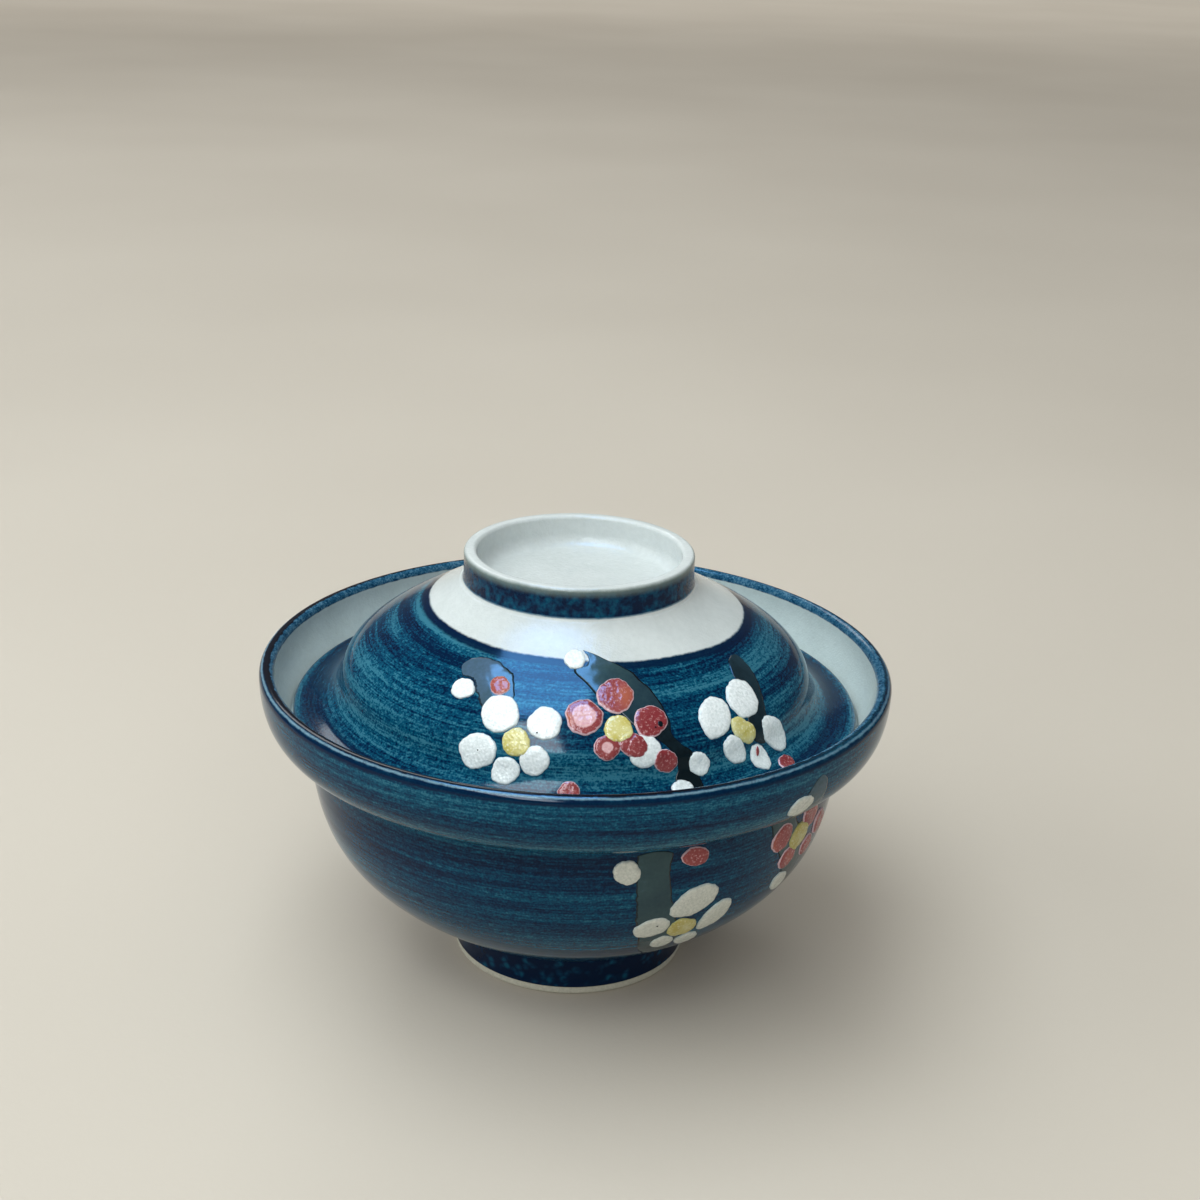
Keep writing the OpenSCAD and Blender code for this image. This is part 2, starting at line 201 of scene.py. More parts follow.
def foot_wall():
    """The outside of the foot ring: bare clay, then the rolled edge of the glaze, then glaze."""
    bare = straight((bare_r, FOOT_EDGE_R), (bare_r - 0.05 * MM, BARE_H), 6)
    roll = arc((bare_r, BARE_H + GLAZE_T), GLAZE_T, 270, 350, 5)
    waist_r = FOOT_R - (FOOT_TOP_R - FOOT_R) * FOOT_PINCH
    glazed = run(np.array([
        roll[-1], (waist_r, FOOT_H * FOOT_WAIST),
        (FOOT_TOP_R - 0.25 * MM, FOOT_H * FOOT_SHOULDER), (FOOT_TOP_R, FOOT_H)
    ]), 20)
    return bare, np.vstack([roll, glazed])


def bowl_outline():
    """The bowl's outline: from the middle of the foot recess, round the outside, to its floor's middle."""
    inner_r = FOOT_R - FOOT_T
    ledge_r = crease_r - WALL_T + LEDGE_EDGE_R
    bare, glazed = foot_wall()
    return joined([
        ("recess", straight((0, RECESS_H), (inner_r - FOOT_EDGE_R, RECESS_H), 24)),
        ("recess_corner", arc((inner_r - FOOT_EDGE_R, RECESS_H - FOOT_EDGE_R), FOOT_EDGE_R, 90, 0, 6)),
        ("recess_wall", straight((inner_r, RECESS_H - FOOT_EDGE_R), (inner_r, FOOT_EDGE_R), 8)),
        ("foot_face", arc((inner_r + FOOT_EDGE_R, FOOT_EDGE_R), FOOT_EDGE_R, 180, 270, 6)),
        ("foot_face_flat", straight((inner_r + FOOT_EDGE_R, 0), (bare_r - FOOT_EDGE_R, 0), 6)),
        ("foot_edge", arc((bare_r - FOOT_EDGE_R, FOOT_EDGE_R), FOOT_EDGE_R, 270, 360, 6)),
        ("bare", bare),
        ("foot", glazed),
        ("body", run(BODY, 100)),
        ("flare", run(FLARE, 50)),
        ("lip", arc((RIM_R - lip_r, BOWL_H - lip_r), lip_r, 0, 180, 18)),
        ("rim_wall", run(RIM_WALL, 24)[::-1]),
        ("seat", arc((seat_r - SEAT_FILLET_R, SEAT_Z + SEAT_FILLET_R), SEAT_FILLET_R, 0, -90, 5)),
        ("ledge", straight((seat_r - SEAT_FILLET_R, SEAT_Z), (ledge_r, SEAT_Z), 6)),
        ("ledge_edge", arc((ledge_r, SEAT_Z - LEDGE_EDGE_R), LEDGE_EDGE_R, 90, 180, 6)),
        ("inside", run(INSIDE, 60)[::-1]),
        ("floor", straight((FLOOR_R, floor_z), (0, floor_z), 12)),
        ("end", [(0, floor_z)]),
    ])


def lid_outline():
    """The lid's outline from the middle of its hollow, round the edge, to the middle of the dish on top."""
    ring_flat_r = RING_R - RING_T + RING_EDGE_R
    dish_r = RING_ROOT_R - RING_T - DISH_FILLET_R
    return joined([
        ("crown_hollow", straight((0, hollow_top[1]), hollow_top, 8)),
        ("hollow", run(HOLLOW, 50)[::-1]),
        ("hollow_foot", run(HOLLOW_FOOT, 16)[::-1]),
        ("seat_face", straight((LID_R - SEAT_FACE_W, SEAT_Z), (LID_R - EDGE_R, SEAT_Z), 12)),
        ("edge_low", arc((LID_R - EDGE_R, SEAT_Z + EDGE_R), EDGE_R, 270, 360, 8)),
        ("edge_high", arc((LID_R - EDGE_R, SEAT_Z + EDGE_T - EDGE_R), EDGE_R, 0, 90, 8)),
        ("brim", run(BRIM, 48)),
        ("dome", run(DOME, 90)),
        ("ring", run(RING_WALL, 30)),
        ("ring_top", arc((RING_R - RING_EDGE_R, RING_TOP_Z - RING_EDGE_R), RING_EDGE_R, 0, 90, 8)),
        ("ring_flat", straight((RING_R - RING_EDGE_R, RING_TOP_Z), (ring_flat_r, RING_TOP_Z), 3)),
        ("ring_inner", arc((ring_flat_r, RING_TOP_Z - RING_EDGE_R), RING_EDGE_R, 90, 180, 8)),
        ("dish", arc((dish_r, dish_z + DISH_FILLET_R), DISH_FILLET_R, 0, -90, 12)),
        ("dish_floor", straight((dish_r, dish_z), (0, dish_z), 16)),
        ("end", [(0, dish_z)]),
    ])


def throwing_marks(low, high):
    """Says how far a wall dips below its outline between two lengths: rings left by the maker's fingers."""
    fade_l = 3 * MM

    def dip(along, turn):
        broad = np.sin(along / (0.92 * MM) + 0.8 * np.sin(turn))
        narrow = 0.7 * np.sin(along / (0.41 * MM) + 1.3 * np.sin(2 * turn))
        sway = 0.6 * np.sin(2 * turn + along / (9 * MM)) + 0.4 * np.sin(3 * turn + 1)
        fade = np.clip((along - low) / fade_l, 0, 1) * np.clip((high - along) / fade_l, 0, 1)
        return THROWING_DEPTH * fade * (2.7 + broad + narrow + sway) / 5.4

    return dip


def mesh_object(name, vertices, faces, material, numbers):
    """A smooth mesh object, with named lists of numbers kept on its points."""
    mesh = bpy.data.meshes.new(name)
    mesh.from_pydata([tuple(v) for v in vertices], [], faces)
    for key, values in numbers.items():
        layer = mesh.attributes.new(key, "FLOAT", "POINT")
        layer.data.foreach_set("value", np.asarray(values, np.float32))
    mesh.shade_smooth()
    mesh.materials.append(material)
    thing = bpy.data.objects.new(name, mesh)
    scene.collection.objects.link(thing)
    return thing


def lathe(name, outline, material, dip):
    """Turns an outline that starts and ends on the axis into a closed mesh, less its dips."""
    points, along, _ = outline
    inner, inner_along = points[1:-1], along[1:-1]
    turns = np.linspace(0, 2 * math.pi, SIDES, endpoint=False)
    turn, length = np.meshgrid(turns, inner_along)
    radius = inner[:, 0][:, None] - dip(length, turn)
    x, y = radius * np.sin(turn), -radius * np.cos(turn)
    z = np.repeat(inner[:, 1][:, None], SIDES, 1)
    vertices = np.vstack([
        np.stack([x.ravel(), y.ravel(), z.ravel()], 1), [(0, 0, points[0][1]), (0, 0, points[-1][1])]
    ])
    rows, last = len(inner), len(vertices) - 1
    faces = []
    for i in range(rows - 1):
        for j in range(SIDES):
            k = (j + 1) % SIDES
            faces.append((i * SIDES + j, i * SIDES + k, (i + 1) * SIDES + k, (i + 1) * SIDES + j))
    for j in range(SIDES):
        k = (j + 1) % SIDES
        faces.append((last - 1, k, j))
        faces.append((last, (rows - 1) * SIDES + j, (rows - 1) * SIDES + k))
    reach = np.concatenate([np.repeat(inner_along, SIDES), [along[0], along[-1]]])
    return mesh_object(name, vertices, faces, material, {"along": reach})


class Side:
    """The outside of the bowl or the lid unrolled: an angle from the front, a length up its two curves."""

    def __init__(self, low, high):
        points = np.vstack([run(low, SIDE_STEPS), run(high, SIDE_STEPS)[1:]])
        self.up = lengths(points)
        self.place = np.linspace(0, 2, len(points))
        self.points = points
        slope = np.gradient(points, self.up, axis=0)
        self.normal = np.stack([slope[:, 1], -slope[:, 0]], 1)
        self.normal /= np.hypot(*self.normal.T)[:, None]

    def length(self, place):
        """Length up the side at a place, which is below 1 on the low curve and above 1 on the high one."""
        return np.interp(place, self.place, self.up)

    def radius(self, up):
        """Radius of the glaze at a length up the side."""
        return np.interp(up, self.up, self.points[:, 0])

    def spot(self, turn, up, lift):
        """Points in space at an angle, a length up the side and a height off it."""
        r = self.radius(up) + lift * np.interp(up, self.up, self.normal[:, 0])
        z = np.interp(up, self.up, self.points[:, 1]) + lift * np.interp(up, self.up, self.normal[:, 1])
        return np.stack([r * np.sin(turn), -r * np.cos(turn), z], -1)


BOWL_SIDE = Side(BODY, FLARE)
LID_SIDE = Side(BRIM, DOME)

# Each blob of enamel: degrees around from the front, place up the side (below 1 on the first
# curve, above it on the second), length and width as shares of PETAL_D, degrees of tilt, and where
# the middle is pale, how far out that reaches
LID_WHITE = [
    (-31, 1.41, 0.74, 0.64, 154), (-18.2, 1.315, 1.16, 1.06, 138), (-6.6, 1.288, 1, 0.92, 108),
    (-21.3, 1.052, 1.08, 1, 20), (-8, 1.041, 0.84, 0.8, 22), (-14.3, 0.865, 0.8, 0.76, 30),
    (0.1, 1.704, 0.68, 0.6, 90), (16.8, 1.107, 0.98, 0.9, 150), (29.7, 0.902, 0.72, 0.62, 120),
    (24.5, 0.519, 0.62, 0.5, 172), (36.9, 1.243, 1.3, 1, 56), (47.9, 1.296, 1.26, 1.08, 60),
    (53.7, 0.968, 1.3, 0.84, 132), (39.8, 0.98, 0.96, 0.66, 128), (46.7, 0.667, 0.8, 0.66, 110),
    (172, 1.36, 1.1, 0.96, 30), (181, 1.46, 1, 0.9, 80), (189, 1.34, 1.06, 0.94, 150),
    (186, 1.12, 0.9, 0.84, 0), (175, 1.12, 0.94, 0.86, 20), (203, 1.5, 0.66, 0.6, 60),
    (162, 1.02, 0.62, 0.56, 10)
]
LID_RED = [
    (-21.1, 1.477, 0.66, 0.56, 127), (-0.1, 0.578, 0.62, 0.58, 0), (11.8, 1.464, 1.14, 1.02, 63),
    (3, 1.338, 1.08, 1.02, 82, 0.62), (19.5, 1.291, 0.98, 0.92, 33), (8.2, 1.144, 0.72, 0.68, 44, 0.42),
    (14.3, 1.15, 0.78, 0.66, 150), (21.5, 1.023, 0.7, 0.64, 134), (52.9, 0.365, 0.62, 0.5, 8),
    (199, 1.24, 0.9, 0.84, 40), (207, 1.3, 0.92, 0.84, 100), (211, 1.14, 0.86, 0.8, 10),
    (205, 1.0, 0.78, 0.72, 160), (197, 1.05, 0.78, 0.72, 20), (167, 1.24, 0.56, 0.52, 0)
]
LID_YELLOW = [
    (-12.6, 1.151, 0.8, 0.76, 150), (11.2, 1.26, 0.82, 0.76, 60), (42.6, 1.132, 0.62, 0.6, 122),
    (44.3, 1.08, 0.68, 0.62, 122), (180.6, 1.27, 0.78, 0.72, 0), (203.8, 1.14, 0.68, 0.62, 30)
]
BOWL_WHITE = [
    (11.7, 0.913, 0.82, 0.74, 140), (27.2, 0.727, 1.5, 1.06, 24), (34, 0.59, 1.34, 0.86, 62),
    (18.7, 0.593, 1.06, 0.9, 20), (23, 0.439, 0.84, 0.7, 110), (29.9, 0.414, 0.9, 0.72, 120),
    (42.6, 1.619, 0.94, 0.72, 10), (53.2, 0.635, 0.86, 0.7, 140),
    (196, 0.84, 1.1, 0.96, 20), (205.5, 0.79, 1.06, 0.9, 80), (204, 0.59, 1, 0.88, 140),
    (194, 0.57, 1.02, 0.9, 30), (187.5, 0.7, 1.02, 0.92, 90), (214, 0.92, 0.7, 0.62, 0),
    (180, 0.52, 0.66, 0.6, 0)
]
BOWL_RED = [
    (25.7, 0.944, 0.84, 0.62, 166), (48.8, 0.897, 0.96, 0.86, 25), (59.4, 0.92, 0.96, 0.84, 160),
    (52.7, 0.776, 0.84, 0.76, 162), (66.2, 0.835, 0.92, 0.82, 150), (61.1, 0.765, 0.8, 0.72, 150),
    (220, 0.72, 0.9, 0.84, 0), (228, 0.76, 0.92, 0.84, 60), (230, 0.6, 0.86, 0.8, 120),
    (224, 0.5, 0.82, 0.78, 10), (216.5, 0.57, 0.84, 0.78, 60)
]
BOWL_YELLOW = [
    (26.2, 0.553, 1, 0.84, 130), (55.6, 0.858, 1.04, 0.84, 168),
    (196.6, 0.705, 0.8, 0.74, 0), (223, 0.64, 0.7, 0.66, 30)
]

# Each branch from one end to the other: degrees around and place up the side of its left edge, the
# same of its right edge
LID_BRANCHES = [
    [(-35.6, 1.52, -36.4, 1.55), (-33.5, 1.485, -34.1, 1.61), (-29.7, 1.48, -27.4, 1.63),
     (-27.2, 1.42, -19.9, 1.58), (-24.3, 1.35, -17.9, 1.53), (-20.1, 1.23, -15.5, 1.42)],
    [(2.8, 1.77, 3.4, 1.77), (4.7, 1.72, 7.3, 1.74), (4.2, 1.665, 11.6, 1.695), (0.1, 1.63, 15.4, 1.655),
     (3.1, 1.56, 18.5, 1.6), (5.9, 1.485, 20.8, 1.525), (10.4, 1.4, 22.9, 1.455), (13.5, 1.32, 23.9, 1.365),
     (16.4, 1.245, 24.3, 1.28), (19.9, 1.18, 24, 1.195), (23.2, 1.08, 25.9, 1.12), (24.4, 0.895, 28.1, 1.055),
     (23.3, 0.69, 29.3, 0.64), (24.5, 0.45, 29.5, 0.4)],
    [(57.7, 1.545, 59.5, 1.525), (53.5, 1.515, 59.1, 1.425), (50.4, 1.43, 56.5, 1.315),
     (49.3, 1.335, 53.6, 1.195), (46.2, 1.175, 52.2, 1.125), (45.5, 1.08, 50.7, 1.01),
     (46.6, 0.96, 50, 0.84)],
    [(157.4, 1.66, 158.6, 1.67), (160, 1.53, 164, 1.6), (166, 1.39, 172, 1.5), (175, 1.28, 179.6, 1.4),
     (182.4, 1.17, 186, 1.27), (189, 1.08, 191.4, 1.13)],
    [(216.4, 1.62, 215, 1.61), (216, 1.5, 210.6, 1.46), (212, 1.34, 206.4, 1.32), (206.6, 1.2, 201.6, 1.2),
     (202.4, 1.06, 199.6, 1.06)]
]
BOWL_BRANCHES = [
    [(13.6, 0.985, 20.9, 0.985), (13.5, 0.933, 20.6, 0.917), (13.7, 0.873, 20.9, 0.855),
     (14.2, 0.775, 22, 0.75), (14.6, 0.672, 24, 0.63), (16.2, 0.53, 26.5, 0.5), (18.4, 0.36, 27, 0.36),
     (22, 0.26, 28.5, 0.27)],
    [(45.8, 1.92, 47, 1.92), (43.8, 1.8, 48.4, 1.82), (42.4, 1.6, 48.8, 1.62), (42.6, 1.3, 49.2, 1.32),
     (44.2, 0.98, 51, 1.02), (47, 0.87, 55, 0.9), (50.4, 0.77, 59, 0.8), (53, 0.66, 61, 0.68),
     (55.6, 0.53, 59.6, 0.56)],
    [(209.8, 1.68, 211.4, 1.68), (208, 1.5, 212.8, 1.52), (207.4, 1.3, 212.4, 1.32), (206, 0.98, 211.6, 0.98),
     (201.6, 0.86, 208, 0.82), (196.6, 0.73, 203, 0.68), (192.6, 0.58, 197.4, 0.54), (190, 0.45, 192, 0.43)],
    [(232.4, 0.92, 233.8, 0.89), (227.4, 0.83, 232.6, 0.77), (222.8, 0.7, 229, 0.65),
     (218.8, 0.55, 223.2, 0.52), (217, 0.43, 219.2, 0.41)]
]

# How dark each branch is at its two ends: 0 slate grey, 1 black
LID_BRANCH_TONES = [(0.1, 0.25), (0.1, 1.1), (0.6, 0.85), (0.2, 0.7), (0.2, 0.8)]
BOWL_BRANCH_TONES = [(0.3, 0.34), (0.3, 0.4), (0.25, 0.4), (0.25, 0.45)]

# Small marks on the petals, in rows like those of the blobs: dark specks and a touch of red
LID_SPECKS = [
    (21.6, 1.262, 0.17, 0.14, 90), (20.2, 1.245, 0.05, 0.05, 0), (-21, 1.06, 0.04, 0.04, 0),
    (-8, 1.22, 0.05, 0.05, 0), (51.6, 1.2, 0.05, 0.05, 0)
]
BOWL_SPECKS = [(19.6, 0.617, 0.06, 0.05, 0)]
LID_TOUCHES = [(46.2, 0.8, 0.3, 0.12, 70)]


def dome_height(share):
    """Height of a blob at a share of the way to its edge: nearly flat, with a dimple, and 0 at the edge."""
    flat = np.sqrt(np.clip(1 - np.clip(share, 0, 1) ** 5, 0, 1))
    dimple = 0.14 * np.exp(-(share / 0.4) ** 2)
    return flat * (1 - dimple)


def wobble(luck, strength, waves):
    """A closed freehand line: a factor on the radius for each angle."""
    parts = [(k, strength * luck.uniform(0.4, 1) / math.sqrt(k), luck.uniform(0, 2 * math.pi)) for k in waves]
    return lambda angle: 1 + sum(a * np.cos(k * angle + p) for k, a, p in parts)


def lumps(luck, smallest, largest):
    """A gentle random surface, about 1 high, from waves between two wavelengths."""
    count = 9
    waves = []
    for _ in range(count):
        size = 2 * math.pi / luck.uniform(smallest, largest)
        lean = luck.uniform(0, 2 * math.pi)
        waves.append((size * math.cos(lean), size * math.sin(lean), luck.uniform(0, 2 * math.pi)))
    return lambda x, y: sum(np.sin(a * x + b * y + c) for a, b, c in waves) / math.sqrt(count)


class Blob:
    """One petal, dot or flower centre on a side."""

    def __init__(self, side, row, thickness, luck):
        turn, place, length, width, tilt, *pale = row
        self.side, self.thickness = side, thickness
        self.turn, self.up = math.radians(turn), float(side.length(place))
        self.r = float(side.radius(self.up))
        self.half = (length * PETAL_D / 2, width * PETAL_D / 2)
        self.tilt = math.radians(tilt)
        self.edge = wobble(luck, BLOB_STRAY, (2, 3, 4, 5, 7, 11, 16))
        self.grain = lumps(luck, 0.7 * MM, 2.2 * MM)
        self.pale = pale[0] if pale else 0.0

    def share(self, turn, up):
        """How far out from the middle of the blob a place on the side lies: 1 at its edge."""
        across = (turn - self.turn) * self.r
        rise = up - self.up
        c, s = math.cos(self.tilt), math.sin(self.tilt)
        x, y = (across * c + rise * s) / self.half[0], (rise * c - across * s) / self.half[1]
        return np.hypot(x, y) / self.edge(np.arctan2(y, x))

    def lift(self, turn, up):
        """Height of the blob over the glaze at places on the side, and 0 outside it."""
        return self.thickness * dome_height(self.share(turn, up))

    def grid(self):
        """Angles and lengths up the side of a round grid over the blob, closer at its edge."""
        out = 1 - (1 - np.arange(1, BLOB_RINGS + 1) / BLOB_RINGS) ** 1.35
        angle = np.linspace(0, 2 * math.pi, BLOB_SPOKES, endpoint=False)
        out, angle = np.meshgrid(out, angle, indexing="ij")
        out = out * self.edge(angle)
        x, y = out * np.cos(angle) * self.half[0], out * np.sin(angle) * self.half[1]
        c, s = math.cos(self.tilt), math.sin(self.tilt)
        across, rise = x * c - y * s, x * s + y * c
        return self.turn + across / self.r, self.up + rise


def stacked(lower, turn, up):
    """Height of the highest of some lower blobs at places on the side."""
    return np.max([np.zeros_like(turn)] + [blob.lift(turn, up) for blob in lower], axis=0)


def blob_skins(blobs, lower, sunk):
    """A closed raised mesh for each blob, lying on the lower ones and sunk into them by a share."""
    vertices, faces = [], []
    numbers = {"share": [], "pale": []}
    rings, spokes = BLOB_RINGS, BLOB_SPOKES
    for blob in blobs:
        start = len(vertices)
        turn, up = blob.grid()
        turn, up = np.append(turn.ravel(), blob.turn), np.append(up.ravel(), blob.up)
        share = blob.share(turn, up)
        bed = (1 - sunk) * stacked(lower, turn, up)
        across, rise = (turn - blob.turn) * blob.r, up - blob.up
        own = blob.thickness * (dome_height(share) + 0.05 * blob.grain(across, rise) * (share < 0.96))
        top = blob.side.spot(turn, up, bed + own + BLOB_RIM_T)
        rim = slice((rings - 1) * spokes, rings * spokes)
        skirt = blob.side.spot(turn[rim], up[rim], -BLOB_ROOT_T)
        under = blob.side.spot(blob.turn, blob.up, -BLOB_ROOT_T)
        vertices += [*top, *skirt, under]
        numbers["share"] += [*share, *[1.0] * (spokes + 1)]
        numbers["pale"] += [blob.pale] * (len(vertices) - start)
        middle = start + rings * spokes
        base = middle + 1
        for j in range(spokes):
            k = (j + 1) % spokes
            faces.append((middle, start + j, start + k))
            for i in range(rings - 1):
                a, b = start + i * spokes, start + (i + 1) * spokes
                faces.append((a + j, b + j, b + k, a + k))
            a = start + (rings - 1) * spokes
            faces.append((a + j, base + j, base + k, a + k))
            faces.append((base + spokes, base + k, base + j))
    return vertices, faces, numbers


def smooth_route(route, count):
    """A route with rounded bends through its points, evenly spread by number."""
    points = np.array(route, float)
    padded = np.vstack([2 * points[0] - points[1], points, 2 * points[-1] - points[-2]])
    out = []
    for t in np.linspace(0, len(points) - 1, count):
        i = min(int(t), len(points) - 2)
        a, b, c, d = padded[i:i + 4]
        f = t - i
        out.append(0.5 * (2 * b + (c - a) * f + (2 * a - 5 * b + 4 * c - d) * f * f
                          + (3 * b - a - 3 * c + d) * f ** 3))
    return np.array(out)


def branch_skin(side, stations, tones, luck):
    """A thin closed skin between the two edges of a branch, with freehand edges."""
    cells, count = BRANCH_CELLS, BRANCH_ROWS
    marks = [(math.radians(a), side.length(b), math.radians(c), side.length(d)) for a, b, c, d in stations]
    line = smooth_route(marks, count)
    left, right = line[:, :2], line[:, 2:]
    length = np.linspace(0, 1, count)
    ends = np.sqrt(np.clip(np.minimum(length, 1 - length) * count / 3, 0.02, 1))
    stray = [lumps(luck, 0.05, 0.2), lumps(luck, 0.05, 0.2)]
    grain = lumps(luck, 1.2 * MM, 4 * MM)
    vertices, shares, darkness = [], [], []
    for layer in (0, 1):
        for c in np.linspace(-1, 1, cells + 1):
            spread = c * ends * (1 + 0.035 * stray[int(c > 0)](length, 0 * length))
            place = (left + right) / 2 + (right - left) / 2 * spread[:, None]
            turn, up = place.T
            share = np.maximum(abs(c), 1 - ends)
            film = BRANCH_T * (0.12 + 0.88 * (1 - share ** 8) + 0.12 * grain(turn * side.radius(up), up))
            lift = film if layer == 0 else -BRANCH_ROOT_T
            vertices += list(side.spot(turn, up, lift))
            shares += list(share) if layer == 0 else [1.0] * count
            darkness += list(tones[0] + (tones[1] - tones[0]) * length)
    faces, back = [], (cells + 1) * count
    for i in range(cells):
        for j in range(count - 1):
            a, b = i * count + j, (i + 1) * count + j
            faces.append((a, b, b + 1, a + 1))
            faces.append((back + a, back + a + 1, back + b + 1, back + b))
        for j, flip in ((0, False), (count - 1, True)):
            a, b = i * count + j, (i + 1) * count + j
            c, d = back + a, back + b
            faces.append((a, b, d, c) if flip else (a, c, d, b))
    for j in range(count - 1):
        a, b = j, cells * count + j
        faces.append((a, a + 1, back + a + 1, back + a))
        faces.append((b, back + b, back + b + 1, b + 1))
    return vertices, faces, {"share": shares, "dark": darkness}


def gathered(name, parts, material):
    """One object from several closed meshes and their numbers."""
    vertices, faces = [], []
    numbers = {key: [] for key in parts[0][2]}
    for part_vertices, part_faces, part_numbers in parts:
        start = len(vertices)
        vertices += part_vertices
        faces += [tuple(start + k for k in face) for face in part_faces]
        for key in numbers:
            numbers[key] += list(part_numbers[key])
    return mesh_object(name, vertices, faces, material, numbers)


class Paint:
    """A material under construction: small calls that each add one shader node."""

    def __init__(self, name, roughness, ior):
        self.material = bpy.data.materials.new(name)
        self.material.use_nodes = True
        self.tree = self.material.node_tree
        self.shader = next(n for n in self.tree.nodes if n.type == "BSDF_PRINCIPLED")
        self.shader.inputs["Roughness"].default_value = roughness
        self.shader.inputs["IOR"].default_value = ior
        self.place = self.node("ShaderNodeTexCoord").outputs["Object"]

    def node(self, kind, inputs=None, **settings):
        """A node with its settings made and its inputs fed."""
        made = self.tree.nodes.new(kind)
        for key, value in settings.items():
            setattr(made, key, value)
        for key, value in (inputs or {}).items():
            self.feed(made.inputs[key], value)
        return made

    def feed(self, socket, value):
        """Links a socket to another one, or sets its value."""
        if isinstance(value, bpy.types.NodeSocket):
            self.tree.links.new(value, socket)
        elif isinstance(value, tuple) and len(value) == 3 and socket.type == "RGBA":
            socket.default_value = (*value, 1)
        else:
            socket.default_value = value

    def number(self, name):
        """A number attribute of the mesh."""
        return self.node("ShaderNodeAttribute", attribute_name=name).outputs["Fac"]

    def math(self, operation, *values):
        return self.node("ShaderNodeMath", dict(enumerate(values)), operation=operation).outputs[0]

    def times(self, a, b, plus=None):
        """The product of two numbers, plus a third one where it is given."""
        if plus is None:
            return self.math("MULTIPLY", a, b)
        return self.math("MULTIPLY_ADD", a, b, plus)

    def sway(self, value, field, amount):
        """The value moved to and fro by a field of numbers about one half."""
        return self.times(field, amount, self.math("SUBTRACT", value, amount / 2))

    def parts(self, vector):
        return self.node("ShaderNodeSeparateXYZ", {0: vector}).outputs

    def vector(self, x, y, z=0.0):
        """A vector from three numbers."""
        return self.node("ShaderNodeCombineXYZ", {0: x, 1: y, 2: z}).outputs[0]

    def noise(self, scale, detail=2.0, rough=0.5, vector=None):
        """A noise over the object's own space, or over another vector."""
        return self.node("ShaderNodeTexNoise", {
            "Vector": self.place if vector is None else vector,
            "Scale": scale, "Detail": detail, "Roughness": rough}).outputs["Fac"]

    def cells(self, scale):
        """Distance to the middle of the nearest of many small cells."""
        return self.node("ShaderNodeTexVoronoi", {"Vector": self.place, "Scale": scale}).outputs["Distance"]

    def step(self, value, low, high, to_low=0.0, to_high=1.0):
        """A smooth step from to_low below low to to_high above high."""
        return self.node("ShaderNodeMapRange", {
            "Value": value, "From Min": low, "From Max": high, "To Min": to_low, "To Max": to_high},
            interpolation_type="SMOOTHSTEP").outputs["Result"]

    def ramp(self, value, stops):
        """Colours that follow a value through a few (value, colour) stops."""
        made = self.node("ShaderNodeValToRGB", {"Fac": value})
        elements = made.color_ramp.elements
        while len(elements) < len(stops):
            elements.new(0.5)
        for element, (position, colour) in zip(elements, stops):
            element.position = position
            element.color = (*colour, 1)
        return made.outputs["Color"]

    def mix(self, share, a, b):
        """Colour a, and colour b where the share is 1: sockets 6, 7 and 2 are the node's colours."""
        made = self.node("ShaderNodeMix", {"Factor": share}, data_type="RGBA")
        self.feed(made.inputs[6], a)
        self.feed(made.inputs[7], b)
        return made.outputs[2]

    def bump(self, height, strength, distance, normal=None):
        """A surface normal with a height on it, over an earlier one."""
        made = self.node("ShaderNodeBump", {"Height": height, "Strength": strength, "Distance": distance})
        if normal is not None:
            self.feed(made.inputs["Normal"], normal)
        return made.outputs["Normal"]

    def finish(self, colour, normal, roughness=None):
        """The material, with what was made fed to its shader."""
        self.feed(self.shader.inputs["Base Color"], colour)
        self.feed(self.shader.inputs["Normal"], normal)
        if roughness is not None:
            self.feed(self.shader.inputs["Roughness"], roughness)
        return self.material


# Colours of the glazes, as linear red, green and blue

NAVY = (0.0003, 0.0090, 0.0340)
DEEP_BLUE = (0.0006, 0.0300, 0.0740)
TEAL = (0.0014, 0.0640, 0.1180)
PALE_TEAL = (0.0270, 0.1420, 0.2050)
MID_BLUE = (0.0160, 0.0850, 0.1550)
EDGE_BLUE = (0.0750, 0.1800, 0.2600)
# Light blue of the lip's line, brightened as a painted highlight
LIP_PALE_AND_HIGHLIGHT = (0.1450, 0.2500, 0.3150)
IRON_LINE = (0.0040, 0.0050, 0.0100)
KHAKI = (0.14, 0.19, 0.18)
PALE_SHADE = (0.52, 0.57, 0.56)
PALE = (0.64, 0.69, 0.675)
CLAY = (0.50, 0.50, 0.42)
RING_LINE = (0.08, 0.17, 0.24)

# The pale glaze on the lid is a darker copy of the bowl's: painted shade
BOWL_PALE_TINT = (0.93, 1.02, 1.0)
LID_PALE_PAINTED_SHADE = (0.91, 0.91, 0.91)
# The bowl's white and yellow enamel are darker, warmer copies of the lid's: painted shade, as in the dim warm
# light thrown up from the floor
BOWL_ENAMEL_PAINTED_SHADE = (0.73, 0.70, 0.63)
LID_ENAMEL_TINT = (1.0, 1.0, 1.0)

GLAZE_IOR = 1.23
ENAMEL_IOR = 1.3
GLAZE_ROUGHNESS = 0.11
BARE_ROUGHNESS = 0.61


def tinted(tint, colour):
    """A colour times a tint, channel by channel."""
    return tuple(a * b for a, b in zip(tint, colour))


def tone(paint, value, start, end, stops):
    """A number that follows a few (millimetres from the start, number) stops along a stretch of outline."""
    spots = [(at * MM / (end - start), (number,) * 3) for at, number in stops]
    share = paint.node("ShaderNodeMapRange", {"Value": value, "From Min": start, "From Max": end})
    return paint.ramp(share.outputs["Result"], spots)


